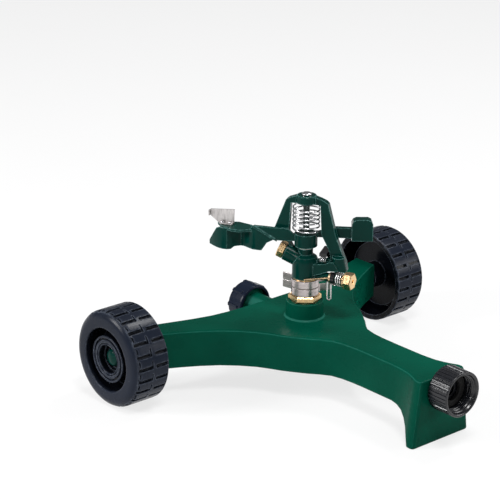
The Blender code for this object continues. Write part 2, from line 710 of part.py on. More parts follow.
def build_head(head):
    """The moulded head: column, barrel, housing, spreader port and bridge in one piece."""
    column = lathe([(0, COLUMN_BOTTOM_Z), (COLUMN_R, COLUMN_BOTTOM_Z), (COLUMN_R, 96.0),
                    (8.6, 100.0), (5.6, 102.0), (5.6, 106.5), (0, 106.5)], 32)
    body = mesh_object("head_body", column, head, green_plastic("head_green"))
    barrel = place(disc(BARREL_R, -3.0, BARREL_LENGTH, 24), barrel_point(0), barrel_direction())
    fuse(body, mesh_object("tool_barrel", barrel, head))
    housing = side_prism([(6, 86.5), (-7, 86.7), (-13.5, 88.8), (-20, 91.8), (-27, 92.2), (-27, 99),
                          (-21, 99.4), (-17, 97.4), (-8, 96), (6, 97.4)], -3, 7)
    fuse(body, mesh_object("tool_housing", housing, head))
    outer = [(-33.0, 92.0), (-31.8, 98.6), (-24.0, 118.0), (-17.4, 143.6), (-15.4, 145.4),
             (-11.5, 147.0), (-7.0, 148.4), (0.0, 149.2), (8.4, 148.0), (13.6, 146.0), (15.6, 144.4),
             (24.3, 121.0), (24.3, 115.8), (21.4, 113.4), (13.4, 110.4), (9.0, 101.0), (-8.0, 92.0),
             (-26.0, 92.0)]
    bridge = mesh_object("tool_bridge", side_prism(outer, -BRIDGE_HALF, BRIDGE_HALF), head)
    window = [(-11.3, 142.3), (-12.6, 119.0), (-19.2, 106.0), (-20.2, 100.0), (-7.0, 97.6),
              (0.0, 102.0), (9.6, 106.4), (12.8, 112.0), (12.8, 122.0), (11.6, 142.3)]
    cut(bridge, mesh_object("tool_window", side_prism(window, -5, 5), head))
    fuse(body, bridge)
    top_boss = lathe([(0, 142.9), (7.8, 142.9), (8.2, 143.6), (7.8, 148.2), (7.2, 149.0), (0, 149.0)],
                     28)
    fuse(body, mesh_object("tool_top_boss", top_boss, head))
    rings = [[(x, y, 103.2) for x, y in circle(4.9, 20, 0.0, (-26.4, 4.0))],
             [(x, y, 99.0) for x, y in circle(4.7, 20, 0.0, (-27.3, 4.2))],
             [(x, y, 92.4) for x, y in circle(3.4, 20, 0.0, (-26.4 - BOSS_TILT - 0.6, 4.6))]]
    fuse(body, mesh_object("tool_leaning_boss", loft(rings), head))
    port = place(disc(PORT_R, 6.0, PORT_END, 20), (0, 0, PORT_Z), port_direction())
    fuse(body, mesh_object("tool_port", port, head))
    cut(body, mesh_object("tool_spring_room", disc(9.2, 80, 90.2, 28), head))
    cut(body, mesh_object("tool_tube_seat", disc(TUBE_R + GAP, 85, 93.0, 28), head))
    cut(body, mesh_object("tool_riser", disc(4.3, 90, 96.2, 20), head))
    bore = place(disc(4.6, -1.2, BARREL_LENGTH + 3, 20), barrel_point(0), barrel_direction())
    cut(body, mesh_object("tool_barrel_bore", bore, head))
    passage = place(disc(1.6, 0, 30, 12), (0, 0, PORT_Z), port_direction())
    cut(body, mesh_object("tool_port_passage", passage, head))
    socket = place(disc(2.4, 27.5, PORT_END + 2, 16), (0, 0, PORT_Z), port_direction())
    cut(body, mesh_object("tool_port_socket", socket, head))
    cut(body, mesh_object("tool_pin_bore_low", disc(PIN_R + GAP, 101.4, 108, 20), head))
    cut(body, mesh_object("tool_pin_bore_high", disc(PIN_R + GAP, 141, 152, 20), head))


def hex_profile(low, high, flats, edge=0.6):
    corner = flats / math.sqrt(3.0)
    return [(0, low), (corner - edge, low), (corner, low + edge), (corner, high - edge),
            (corner - edge, high), (0, high)]


def build_nozzles(head):
    rise = barrel_direction()
    hexagon = place(lathe(hex_profile(BARREL_LENGTH + GAP, 22.9, 11.8), 6, 0.0), barrel_point(0), rise)
    nozzle = mesh_object("range_nozzle", hexagon, head, brass("nozzle_brass"))
    shank = place(disc(4.3, 9.0, 18.5, 20), barrel_point(0), rise)
    fuse(nozzle, mesh_object("tool_nozzle_shank", shank, head))
    bore = lathe([(0, 8.0), (3.2, 8.0), (3.2, 10.0), (1.9, 19.0), (1.9, 21.6), (2.6, 23.6), (0, 23.6)],
                 16)
    cut(nozzle, mesh_object("tool_nozzle_bore", place(bore, barrel_point(0), rise), head))

    port = port_direction()
    hexagon = place(lathe(hex_profile(PORT_END + GAP + 0.8, 40.4, 11.8), 6, 0.0), (0, 0, PORT_Z),
                    port)
    spreader = mesh_object("spreader_nozzle", hexagon, head, brass("spreader_brass"))
    stem = place(disc(2.1, 28.0, 35.0, 16), (0, 0, PORT_Z), port)
    fuse(spreader, mesh_object("tool_spreader_stem", stem, head))
    collar = lathe([(0, PORT_END + GAP), (6.0, PORT_END + GAP), (6.6, PORT_END + GAP + 0.5),
                    (6.6, PORT_END + GAP + 1.0), (6.0, PORT_END + GAP + 1.6),
                    (0, PORT_END + GAP + 1.6)], 24)
    fuse(spreader, mesh_object("tool_spreader_collar", place(collar, (0, 0, PORT_Z), port), head))
    orifice = lathe([(0, 27.0), (1.3, 27.0), (1.3, 37.0), (1.3, 38.8), (2.0, 41.0), (0, 41.0)], 12)
    cut(spreader, mesh_object("tool_orifice", place(orifice, (0, 0, PORT_Z), port), head))


def build_fulcrum(head):
    pin = lathe([(0, 101.8), (PIN_R, 101.8), (PIN_R, 149.2), (3.9, 149.3), (3.9, 150.1), (3.0, 150.8),
                 (0, 151.0)], 24)
    mesh_object("fulcrum_pin", pin, head, steel("pin_steel"))
    washer = tube(5.8, PIN_R + GAP, 106.8, 108.2, 24)
    mesh_object("arm_washer", washer, head, nylon("arm_nylon"))


def arm_path():
    """Plan of the drive vane: past the bridge leg, then in a double curve through the jet."""
    return smooth_path([(5.0, 3.0), (13.0, 5.2), (24.0, 6.4), (33.0, 6.2), (39.5, 6.2), (46.0, 2.0),
                        (51.0, 0.4), (56.0, 4.0), (60.5, 7.2), (66.0, 6.2), (71.5, 2.4),
                        (76.0, -1.8)], 2)


def arm_heights(path):
    """Low and high edge of the vane at each point of its path."""
    lows = []
    highs = []
    for x, _ in path:
        if x < 27.0:
            lows.append(112.6)
        elif x < 33.0:
            lows.append(112.6 - 9.4 * (x - 27.0) / 6.0)
        elif x < 58.0:
            lows.append(103.2)
        else:
            lows.append(101.4)
        if x < 12.0:
            highs.append(HUB_TOP_Z)
        elif x < 42.0:
            highs.append(VANE_TOP_Z)
        else:
            highs.append(ROOF_Z + 0.6 - 1.75 * max(0.0, x - 68.0))
    return lows, highs


def build_arm(arm):
    """The impact arm: hub, drive vane with its roof, rear beam and counterweight in one piece."""
    hub = disc(HUB_R, HUB_BOTTOM_Z, HUB_TOP_Z, 28)
    body = mesh_object("impact_arm", hub, arm, green_plastic("arm_green"))
    path = arm_path()
    lows, highs = arm_heights(path)
    vane = ribbon(path, VANE_THICK, lows, highs)
    fuse(body, mesh_object("tool_vane", vane, arm))
    ridge = side_prism([(21.0, 111.9), (22.4, 114.2), (38.4, 122.5), (41.6, 122.5)], 6.4, 8.3)
    fuse(body, mesh_object("tool_ridge", ridge, arm))
    roof = prism([(40.6, 6.2), (41.6, 3.4), (43.5, -4.0), (55.0, -8.0), (66.0, -5.6), (70.6, -2.4),
                  (65.6, 4.6), (57.0, 10.2), (51.5, 10.6), (46.0, 9.0)], ROOF_Z - 0.9, ROOF_Z + 0.9)
    fuse(body, mesh_object("tool_roof", roof, arm))
    beam = ribbon([(-2.0, -4.2), (-12.0, -6.3), (-14.0, -6.8), (-34.0, -10.5)], 4.4, [114.6] * 4,
                  [118.0, 119.4, VANE_TOP_Z, VANE_TOP_Z])
    fuse(body, mesh_object("tool_beam", beam, arm))
    width = 16.2
    outline = [(-width / 2, 113.0), (width / 2, 113.0), (width / 2, 126.4), (width / 2 - 1.2, 128.8),
               (width / 2 - 3.6, 130.0), (-width / 2 + 3.6, 130.0), (-width / 2 + 1.2, 128.8),
               (-width / 2, 126.4)]
    weight = side_prism(outline, -4.0, 4.0)
    bmesh.ops.rotate(weight, verts=weight.verts, matrix=Matrix.Rotation(math.radians(17.0), 3, "Z"))
    bmesh.ops.translate(weight, verts=weight.verts, vec=(-40.6, -12.4, 0))
    fuse(body, mesh_object("tool_weight", weight, arm))
    cut(body, mesh_object("tool_hub_bore", disc(PIN_R + GAP, 105, 125, 20), arm))


def build_deflector(arm):
    """A bent sheet over the end of the vane, riveted to the roof through its foot."""
    low = ROOF_Z + 0.9 + GAP
    outline = [(57.2, low), (69.6, low), (75.8, 124.3), (76.1, 129.6), (56.9, 130.9)]
    plate = mesh_object("deflector_plate", side_prism(outline, -1.8, -1.0), arm, steel("plate_steel"))
    foot = prism([(58.0, -1.2), (69.4, -1.2), (67.6, 2.2), (58.0, 3.4)], low, low + 0.8)
    fuse(plate, mesh_object("tool_plate_foot", foot, arm))
    lip = ribbon([(75.6, -1.5), (76.3, -0.7), (76.6, 1.6)], 0.8, [124.9] * 3, [129.2] * 3)
    fuse(plate, mesh_object("tool_plate_lip", lip, arm))
    for x in RIVETS_X:
        hole = disc(0.9, low - 5, low + 5, 12)
        cut(plate, mesh_object("tool_rivet_hole", place(hole, (x, 1.0, 0)), arm))
    for number, x in enumerate(RIVETS_X):
        rivet = lathe([(0, low), (0.6, low), (0.6, low + 1.1), (1.4, low + 1.1), (1.1, low + 1.8),
                       (0, low + 2.0)], 12)
        mesh_object(f"deflector_rivet_{number + 1}", place(rivet, (x, 1.0, 0)), arm,
                    steel("rivet_steel"))


def build_arm_spring(head):
    points = coil_points(SPRING_R, SPRING_BOTTOM_Z, SPRING_TOP_Z, SPRING_TURNS, 10, 172.0, SPRING_WIRE)
    print("arm spring gap mm", round(least_gap(points, SPRING_WIRE, 10), 2))
    wire_object("arm_spring", points, SPRING_WIRE / 2, head, steel("arm_spring_steel"))


def build_trip(head):
    """The lever on the spreader port, its rod, and the wire that the collar tabs push."""
    pivot = empty("trip_axis", head, (0, 0, PORT_Z), SPREADER_DEG)
    to_pivot = Matrix.Rotation(math.radians(-SPREADER_DEG), 4, "Z") @ Matrix.Translation((0, 0, -PORT_Z))

    sleeve = place(disc(SLEEVE_R, EYE_END + GAP, LEVER_END, 20), (0, 0, 0), (1, 0, 0))
    lever = mesh_object("trip_lever", sleeve, pivot, black_plastic("lever_black"))
    web = prism([(-25.8, 3.4), (-26.2, -9.2), (-22.6, -9.2), (-24.2, 3.0)], 84.6, 87.8)
    upright = side_prism([(-26.5, 84.3), (-22.0, 84.3), (-22.0, 90.0), (-12.5, 101.0), (-12.5, 106.0),
                          (-18.4, 106.0), (-26.5, 93.0)], -9.5, -7.4)
    tongue = prism([(-18.2, -9.0), (-12.6, -9.0), (-12.6, 8.2), (-18.2, 8.2)], 103.7, 106.3)
    for name, work in (("tool_web", web), ("tool_upright", upright), ("tool_tongue", tongue)):
        bmesh.ops.transform(work, matrix=to_pivot, verts=work.verts)
        fuse(lever, mesh_object(name, work, pivot))
    bore = place(disc(PORT_R + GAP, 15, 35, 20), (0, 0, 0), (1, 0, 0))
    cut(lever, mesh_object("tool_lever_bore", bore, pivot))

    eye = place(disc(SLEEVE_R - 0.2, LEVER_START, EYE_END, 20), (0, 0, 0), (1, 0, 0))
    rod = mesh_object("trip_rod", eye, pivot, brass("rod_brass"))
    tip = to_pivot @ Vector((-1.9, 11.4, 84.5))
    root_end = to_pivot @ Vector((-20.4, 8.6, 87.2))
    shank = place(disc(ROD_R, 0, (root_end - tip).length, 12), tip, root_end - tip)
    fuse(rod, mesh_object("tool_rod_shank", shank, pivot))
    eye_bore = place(disc(PORT_R + GAP, 15, 35, 20), (0, 0, 0), (1, 0, 0))
    cut(rod, mesh_object("tool_eye_bore", eye_bore, pivot))

    left = Vector((-18.0, 2.3, 0))
    right = Vector((-20.7, 2.0, 0))
    middle = (left + right) / 2
    half = (right - left) / 2
    bend_z = 68.2
    points = [left + Vector((0, 0, 81.6)), left + Vector((0, 0, bend_z))]
    for i in range(1, 6):
        angle = math.pi * i / 6
        points.append(middle - half * math.cos(angle)
                      + Vector((0, 0, bend_z - half.length * math.sin(angle))))
    points.append(right + Vector((0, 0, bend_z)))
    points.append(right + Vector((-0.1, 0.1, 79.4)))
    points.append(right + Vector((-0.7, 0.2, 80.4)))
    points = [to_pivot @ point for point in points]
    turns = 3.0
    per_turn = 10
    coil = []
    for i in range(round(turns * per_turn) + 1):
        angle = math.radians(-75.0) + 2 * math.pi * i / per_turn
        coil.append(Vector((27.0 + 1.75 * i / per_turn, TRIP_COIL_R * math.cos(angle),
                            TRIP_COIL_R * math.sin(angle))))
    points.append(Vector((25.4, coil[0].y - 1.4, -5.6)))
    points += coil
    points.append(coil[-1] + (coil[-1] - coil[-2]).normalized() * TRIP_WIRE)
    print("trip wire gap mm", round(least_gap(coil, TRIP_WIRE, per_turn), 2))
    wire_object("trip_wire", points, TRIP_WIRE / 2, pivot, steel("trip_wire_steel"))


def build_trip_spring(head):
    """The small coil between the housing and the lever's tongue, with one straight tail."""
    wire = 0.7
    radius = 2.2
    turns = 3
    per_turn = 9
    coil = []
    for i in range(turns * per_turn + 1):
        angle = 2 * math.pi * i / per_turn
        coil.append(Vector((-13.4 - 1.25 * i / per_turn, 5.4 + radius * math.cos(angle),
                            100.4 + radius * math.sin(angle))))
    first = (coil[0] - coil[1]).normalized() * wire
    tail = coil[-1] + Vector((-1.0, 0.7, 2.0))
    print("trip spring gap mm", round(least_gap(coil, wire, per_turn), 2))
    wire_object("trip_spring", [coil[0] + first] + coil + [tail], wire / 2, head,
                steel("trip_spring_steel"))


def main():
    clear_scene()
    root = empty("sprinkler", location=(0, ROOT_SHIFT_Y, 0))
    build_base(root)
    build_water_tube(root)
    build_inlet(root)
    build_outlet(root)
    build_wheels(root)
    build_bearing(root)
    build_collars(root)
    head = empty("head_axis", root, turn_deg=HEAD_TURN_DEG)
    build_head_bearing(head)
    build_head(head)
    build_nozzles(head)
    build_fulcrum(head)
    build_trip(head)
    build_trip_spring(head)
    build_arm_spring(head)
    arm = empty("arm_axis", head)
    build_arm(arm)
    build_deflector(arm)


main()
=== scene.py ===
"""Looks of the impulse sprinkler: moulded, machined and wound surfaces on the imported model.

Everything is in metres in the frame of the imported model. The turning axis of the head is the
upright line through HEAD_AXIS; places on the head are written in the head's own millimetres,
turned by HEAD_TURN about that axis.
"""
import json
import math

import bmesh
import bpy
from mathutils import Matrix, Vector

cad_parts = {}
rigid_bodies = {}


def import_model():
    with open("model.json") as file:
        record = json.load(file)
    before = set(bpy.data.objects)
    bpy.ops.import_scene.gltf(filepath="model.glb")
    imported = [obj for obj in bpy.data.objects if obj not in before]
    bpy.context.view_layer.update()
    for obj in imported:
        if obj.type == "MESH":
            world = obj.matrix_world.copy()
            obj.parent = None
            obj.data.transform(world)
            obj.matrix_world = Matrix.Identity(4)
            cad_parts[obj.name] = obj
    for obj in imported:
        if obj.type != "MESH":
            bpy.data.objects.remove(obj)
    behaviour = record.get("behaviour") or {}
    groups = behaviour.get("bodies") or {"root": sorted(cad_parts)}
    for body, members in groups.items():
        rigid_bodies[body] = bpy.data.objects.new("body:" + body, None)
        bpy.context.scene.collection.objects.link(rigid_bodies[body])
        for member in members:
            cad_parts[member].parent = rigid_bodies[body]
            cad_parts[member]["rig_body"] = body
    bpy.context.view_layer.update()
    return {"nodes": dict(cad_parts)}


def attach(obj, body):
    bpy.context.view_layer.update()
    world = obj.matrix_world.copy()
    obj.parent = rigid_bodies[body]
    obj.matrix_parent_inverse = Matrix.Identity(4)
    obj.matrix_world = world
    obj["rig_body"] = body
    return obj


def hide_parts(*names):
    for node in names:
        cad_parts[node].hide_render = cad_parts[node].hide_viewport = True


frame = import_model()

MM = 0.001
HEAD_AXIS = Vector((0.0, 0.03785, 0.0))
HEAD_TURN = math.radians(123.0)
PIN_HEAD_Z = 0.1440            # underside of the head of the arm's pin
PIPE_Z = 0.04207               # axis of the hose swivel
WHEEL_Y = 0.09185              # axis of the wheels
WHEEL_Z = 0.0375


# Node materials

def socket(tree, target, value):
    """Links a socket to an input, or writes a plain value on it."""
    if isinstance(value, bpy.types.NodeSocket):
        tree.links.new(value, target)
    else:
        target.default_value = value


def add(tree, kind, inputs=None, **settings):
    made = tree.nodes.new(kind)
    for key, value in settings.items():
        setattr(made, key, value)
    for key, value in (inputs or {}).items():
        socket(tree, made.inputs[key], value)
    return made


def maths(tree, operation, first, second=0.0):
    return add(tree, "ShaderNodeMath", {0: first, 1: second}, operation=operation).outputs[0]


def ramp(tree, value, low, high, to_low=0.0, to_high=1.0, curve="SMOOTHSTEP"):
    """Maps a value from low..high to to_low..to_high, smoothly and clamped."""
    made = add(tree, "ShaderNodeMapRange", {"Value": value, "From Min": low, "From Max": high,
                                            "To Min": to_low, "To Max": to_high},
               interpolation_type=curve)
    return made.outputs["Result"]


def within(tree, first, first_limits, second, second_limits):
    """About 1 where two values are both past their limits; each fades in between its own two."""
    return maths(tree, "MULTIPLY", ramp(tree, first, *first_limits),
                 ramp(tree, second, *second_limits))


MIX_FIRST, MIX_SECOND, MIX_RESULT = 6, 7, 2          # the Mix node's sockets for colours


def mix(tree, share, first, second):
    """Mixes two colours."""
    made = add(tree, "ShaderNodeMix", data_type="RGBA")
    socket(tree, made.inputs[0], share)
    for index, value in ((MIX_FIRST, first), (MIX_SECOND, second)):
        socket(tree, made.inputs[index], value if isinstance(value, bpy.types.NodeSocket)
               else (*value, 1.0))
    return made.outputs[MIX_RESULT]


def noise(tree, place, scale, detail=2.0, rough=0.5):
    return add(tree, "ShaderNodeTexNoise", {"Vector": place, "Scale": scale, "Detail": detail,
                                            "Roughness": rough}).outputs["Fac"]


def mapped(tree, scale=(1, 1, 1), move=(0, 0, 0)):
    """The object's own coordinates, scaled and moved."""
    coords = add(tree, "ShaderNodeTexCoord").outputs["Object"]
    return add(tree, "ShaderNodeMapping", {"Vector": coords, "Location": move,
                                           "Scale": scale}).outputs["Vector"]


def height_of(tree, place):
    return add(tree, "ShaderNodeSeparateXYZ", {0: place}).outputs["Z"]


def bump(tree, height, distance, strength=1.0, normal=None):
    inputs = {"Height": height, "Distance": distance, "Strength": strength}
    if normal is not None:
        inputs["Normal"] = normal
    return add(tree, "ShaderNodeBump", inputs).outputs["Normal"]


def tinted(color, share):
    return [channel * share for channel in color]


def shader(name, **values):
    """A new material; returns it, its tree and its Principled node with plain values set."""
    made = bpy.data.materials.new(name)
    made.use_nodes = True
    tree = made.node_tree
    principled = tree.nodes["Principled BSDF"]
    for key, value in values.items():
        principled.inputs[key.replace("_", " ")].default_value = value
    return made, tree, principled


def surface(tree, principled, color, roughness, normal):
    """Links a skin's colour, roughness and normal to its Principled node."""
    tree.links.new(color, principled.inputs["Base Color"])
    tree.links.new(roughness, principled.inputs["Roughness"])
    tree.links.new(normal, principled.inputs["Normal"])


EDGE_COSINE = (0.985, 0.88)    # between a face's normal and the rounded one, from flat to edge
EDGE_SAMPLES = 4


def edge_mask(tree, radius, wander):
    """About 1 along outward edges and 0 on flats, broken up by a wandering value."""
    bevel = add(tree, "ShaderNodeBevel", {"Radius": radius}, samples=EDGE_SAMPLES).outputs["Normal"]
    true = add(tree, "ShaderNodeNewGeometry").outputs["Normal"]
    dot = add(tree, "ShaderNodeVectorMath", {0: bevel, 1: true}, operation="DOT_PRODUCT")
    return maths(tree, "MULTIPLY", ramp(tree, dot.outputs["Value"], *EDGE_COSINE), wander)


# Where shade is painted on a wheel's colour, as radii and as distances from the middle plane of the
# base.
# Each pair runs from the bright end of a fade to its dark end.
RING_INNER_R = (0.0180, 0.0186)
RING_OUTER_R = (0.0248, 0.0243)
HOLLOW_R = (0.0336, 0.0328)
HOLLOW_X = (0.1445, 0.1400)
BORE_R = (0.0113, 0.0109)
BORE_X = (0.1492, 0.1482)
GROOVE_R = (0.0371, 0.0363)
GROOVE_X = (0.1484, 0.1474)
PAINTED_SHADE_SHARE = 0.2             # share of the colour that is left where shade is painted on a wheel


def wheel_painted_shade(tree):
    """Painted shade on a wheel: share of colour left, low in the ring recess, bore, grooves and
    hollow back.
    """
    parts = add(tree, "ShaderNodeSeparateXYZ", {0: mapped(tree)}).outputs
    across = maths(tree, "SUBTRACT", parts["Y"], WHEEL_Y)
    above = maths(tree, "SUBTRACT", parts["Z"], WHEEL_Z)
    radius = maths(tree, "SQRT", maths(tree, "ADD", maths(tree, "MULTIPLY", across, across),
                                       maths(tree, "MULTIPLY", above, above)))
    ring = within(tree, radius, RING_INNER_R, radius, RING_OUTER_R)
    side = maths(tree, "ABSOLUTE", parts["X"])
    hollow = within(tree, radius, HOLLOW_R, side, HOLLOW_X)
    bore = within(tree, radius, BORE_R, side, BORE_X)
    groove = within(tree, radius, GROOVE_R, side, GROOVE_X)
    shaded = maths(tree, "MAXIMUM", maths(tree, "MAXIMUM", ring, groove),
                   maths(tree, "MAXIMUM", hollow, bore))
    return ramp(tree, shaded, 0.0, 1.0, 1.0, PAINTED_SHADE_SHARE)


ROUND_EDGE_START = (0.2, 0.55)             # upright part of the normal, from a wall to an edge
ROUND_EDGE_END = (0.95, 0.8)               # and from a level top to an edge


def round_edges(tree):
    """About 1 on the rounded edges between upright walls and level tops, where a highlight is
    painted.
    """
    normal = add(tree, "ShaderNodeTexCoord").outputs["Normal"]
    tilt = height_of(tree, normal)
    return within(tree, tilt, ROUND_EDGE_START, tilt, ROUND_EDGE_END)


def moulded(name, color, roughness, specular, wear_and_highlight, wear_and_highlight_share=0.5, wear_and_highlight_radius=0.0007, painted_shade=None,
            lit_edges=0.0):
    """Moulded plastic: colour drift, orange peel, fine grain, edges lightened as wear and painted
    highlight.
    """
    made, tree, principled = shader(name, IOR=1.49, Specular_IOR_Level=specular)
    coords = mapped(tree)
    drift = noise(tree, coords, scale=14.0, detail=3.0)
    peel = noise(tree, coords, scale=150.0, detail=1.0)
    fine = noise(tree, coords, scale=2400.0)
    smear = noise(tree, coords, scale=55.0, detail=4.0, rough=0.6)
    tone = mix(tree, ramp(tree, drift, 0.3, 0.7), tinted(color, 0.84), tinted(color, 1.18))
    # Painted shade: the colour darkens towards black by the given shade mask.
    if painted_shade:
        tone = mix(tree, painted_shade(tree), (0.0, 0.0, 0.0), tone)
    # Painted highlight: the rounded edges between walls and tops lighten to the wear-and-highlight
    # colour.
    if lit_edges:
        tone = mix(tree, maths(tree, "MULTIPLY", round_edges(tree), lit_edges), tone, wear_and_highlight)
    # Outward edges lighten to the wear-and-highlight colour: partly wear, partly a painted
    # highlight.
    worn_and_lit_edges = edge_mask(tree, wear_and_highlight_radius,
                       ramp(tree, noise(tree, coords, scale=320.0, detail=3.0), 0.35, 0.7,
                            to_low=0.3))
    base = mix(tree, maths(tree, "MULTIPLY", worn_and_lit_edges, wear_and_highlight_share), tone, wear_and_highlight)
    handled = ramp(tree, smear, 0.42, 0.68, roughness - 0.03, roughness + 0.05)
    dulled = maths(tree, "ADD", handled, maths(tree, "MULTIPLY", worn_and_lit_edges, 0.08))
    skin = bump(tree, peel, distance=0.00012, strength=0.5)
    surface(tree, principled, base, dulled, bump(tree, fine, distance=0.000012, normal=skin))
    return made


RING_SCALE = 99.952252         # of the rings that turning leaves
TARNISH = (0.86, 0.74, 0.62)   # share of each channel that is left where metal is tarnished


def turned(name, color, roughness, place):
    """Machined metal: fine rings about an upright axis, a slight tarnish and small dents."""
    made, tree, principled = shader(name, Metallic=1.0)
    rings = add(tree, "ShaderNodeTexWave", {"Vector": mapped(tree, move=-Vector(place)),
                                            "Scale": RING_SCALE, "Distortion": 0.6, "Detail": 1.0},
                wave_type="RINGS", rings_direction="Z").outputs["Fac"]
    stain = noise(tree, mapped(tree), scale=330.0, detail=4.0, rough=0.6)
    spots = noise(tree, mapped(tree), scale=900.0)
    deep = [channel * share for channel, share in zip(color, TARNISH)]
    tone = mix(tree, ramp(tree, stain, 0.4, 0.75, to_high=0.8), color, deep)
    gloss = ramp(tree, spots, 0.3, 0.75, roughness - 0.05, roughness + 0.14)
    dents = bump(tree, noise(tree, mapped(tree), scale=500.0), distance=0.00008, strength=0.35)
    surface(tree, principled, tone, gloss,
            bump(tree, rings, distance=0.000004, strength=0.8, normal=dents))
    return made


def rolled(name, color, roughness, stretch):
    """Rolled or drawn steel: long fine streaks along the metal, with cloudy patches."""
    made, tree, principled = shader(name, Metallic=1.0)
    streaks = noise(tree, mapped(tree, stretch), scale=1.0, detail=4.0, rough=0.7)
    cloud = noise(tree, mapped(tree), scale=130.0, detail=3.0)
    tone = mix(tree, ramp(tree, streaks, 0.35, 0.7), color, tinted(color, 0.7))
    gloss = ramp(tree, cloud, 0.3, 0.7, roughness - 0.06, roughness + 0.1)
    surface(tree, principled, tone, gloss, bump(tree, streaks, distance=0.00002, strength=0.7))
    return made


def wound(name, color, roughness):
    """Bright spring wire: faint drawing marks and a few duller patches."""
    made, tree, principled = shader(name, Metallic=1.0)
    coords = mapped(tree)
    marks = noise(tree, coords, scale=1500.0, detail=3.0, rough=0.6)
    cloud = noise(tree, coords, scale=210.0)
    tone = mix(tree, ramp(tree, cloud, 0.4, 0.75), color, tinted(color, 0.72))
    gloss = ramp(tree, cloud, 0.3, 0.8, roughness, roughness + 0.12)
    surface(tree, principled, tone, gloss, bump(tree, marks, distance=0.00001, strength=0.5))
    return made


def shaft(name, head_color, shank_color, head_z):
    """A bright pin head above a height, and an oiled, darkened shank under it."""
    made, tree, principled = shader(name, Metallic=1.0)
    coords = mapped(tree)
    height = height_of(tree, coords)
    film = noise(tree, mapped(tree, (700, 700, 180)), scale=1.0, detail=3.0, rough=0.6)
    shank = mix(tree, ramp(tree, film, 0.35, 0.7), shank_color, tinted(shank_color, 1.9))
    share = ramp(tree, height, head_z - 0.4 * MM, head_z)
    tone = mix(tree, share, shank, head_color)
    gloss = maths(tree, "SUBTRACT", ramp(tree, film, 0.2, 0.8, 0.3, 0.46),
                  maths(tree, "MULTIPLY", share, 0.2))
    grain = noise(tree, coords, scale=1500.0)
    surface(tree, principled, tone, gloss, bump(tree, grain, distance=0.00001, strength=0.5))
    return made


def elastic(name, color):
    """Matt rubber or nylon washer."""
    made, tree, principled = shader(name, Specular_IOR_Level=0.3)
    coords = mapped(tree)
    tone = mix(tree, noise(tree, coords, scale=120.0, detail=3.0), tinted(color, 0.8), color)
    gloss = ramp(tree, noise(tree, coords, scale=700.0, detail=3.0), 0.3, 0.7, 0.6, 0.85)
    grain = noise(tree, coords, scale=1800.0)
    surface(tree, principled, tone, gloss, bump(tree, grain, distance=0.00003, strength=0.6))
    return made


GREEN = (0.0005, 0.059, 0.0355)
# Lighter edge colour of the base: wear and painted highlight.
GREEN_WEAR_AND_HIGHLIGHT = (0.035, 0.190, 0.150)
HEAD_GREEN = (0.0004, 0.029, 0.0225)
# Lighter edge colour of the head: wear and painted highlight.
HEAD_WEAR_AND_HIGHLIGHT = (0.150, 0.340, 0.320)
TYRE_BLACK = (0.0105, 0.0140, 0.0235)
# Lighter edge colour of the wheels: wear and painted highlight.
TYRE_WEAR_AND_HIGHLIGHT = (0.090, 0.105, 0.135)
NUT_BLACK = (0.0075, 0.0080, 0.0105)
CAP_BLACK = (0.0060, 0.0100, 0.0220)
LEVER_BLACK = (0.006, 0.006, 0.007)
BLACK_WORN = (0.040, 0.046, 0.058)
BRASS = (0.82, 0.58, 0.31)
ROD_BRASS = (0.80, 0.56, 0.34)
BAND_STEEL = (0.62, 0.56, 0.55)
PLATE_STEEL = (0.72, 0.69, 0.68)
WIRE_STEEL = (0.74, 0.73, 0.72)
OILED_STEEL = (0.050, 0.062, 0.060)
CHROME = (0.74, 0.74, 0.76)
RUBBER = (0.016, 0.016, 0.016)
NYLON = (0.55, 0.54, 0.50)

# The base's edges lighten as wear and painted highlight, and its rounded top edges take a further
# painted highlight.
base_green = moulded("green_moulding", GREEN, 0.30, 0.03, GREEN_WEAR_AND_HIGHLIGHT, wear_and_highlight_share=0.7, wear_and_highlight_radius=0.0011,
                     lit_edges=0.4)
# The head's edges lighten as wear and painted highlight.
head_green = moulded("head_moulding", HEAD_GREEN, 0.16, 0.09, HEAD_WEAR_AND_HIGHLIGHT, wear_and_highlight_share=0.9,
                     wear_and_highlight_radius=0.0011)
# The wheels take painted shade in their ring recess, bore, grooves and hollow back, and painted
# highlights along their edges.
tyre_black = moulded("wheel_moulding", TYRE_BLACK, 0.25, 0.10, TYRE_WEAR_AND_HIGHLIGHT, wear_and_highlight_share=0.9,
                     wear_and_highlight_radius=0.0018, painted_shade=wheel_painted_shade)
nut_black = moulded("nut_moulding", NUT_BLACK, 0.24, 0.50, BLACK_WORN)
cap_black = moulded("cap_moulding", CAP_BLACK, 0.24, 0.16, BLACK_WORN)
deep_black = moulded("lever_moulding", LEVER_BLACK, 0.2, 0.5, BLACK_WORN)
bearing_brass = turned("bearing_brass_metal", BRASS, 0.26, HEAD_AXIS)
wire_brass = wound("rod_brass_metal", ROD_BRASS, 0.25)
band_steel = rolled("collar_steel_metal", BAND_STEEL, 0.30, (60, 60, 1600))
plate_steel = rolled("plate_steel_metal", PLATE_STEEL, 0.34, (500, 500, 90))
bright_wire = wound("spring_wire_metal", CHROME, 0.12)
dull_wire = wound("small_wire_metal", WIRE_STEEL, 0.22)
pin_steel = shaft("pin_steel_metal", CHROME, OILED_STEEL, PIN_HEAD_Z)
rubber = elastic("washer_rubber_skin", RUBBER)
nylon = elastic("nylon_skin", NYLON)


# Pieces

SMOOTH_DEG = 38.0              # faces that meet at less than this are shaded as one surface


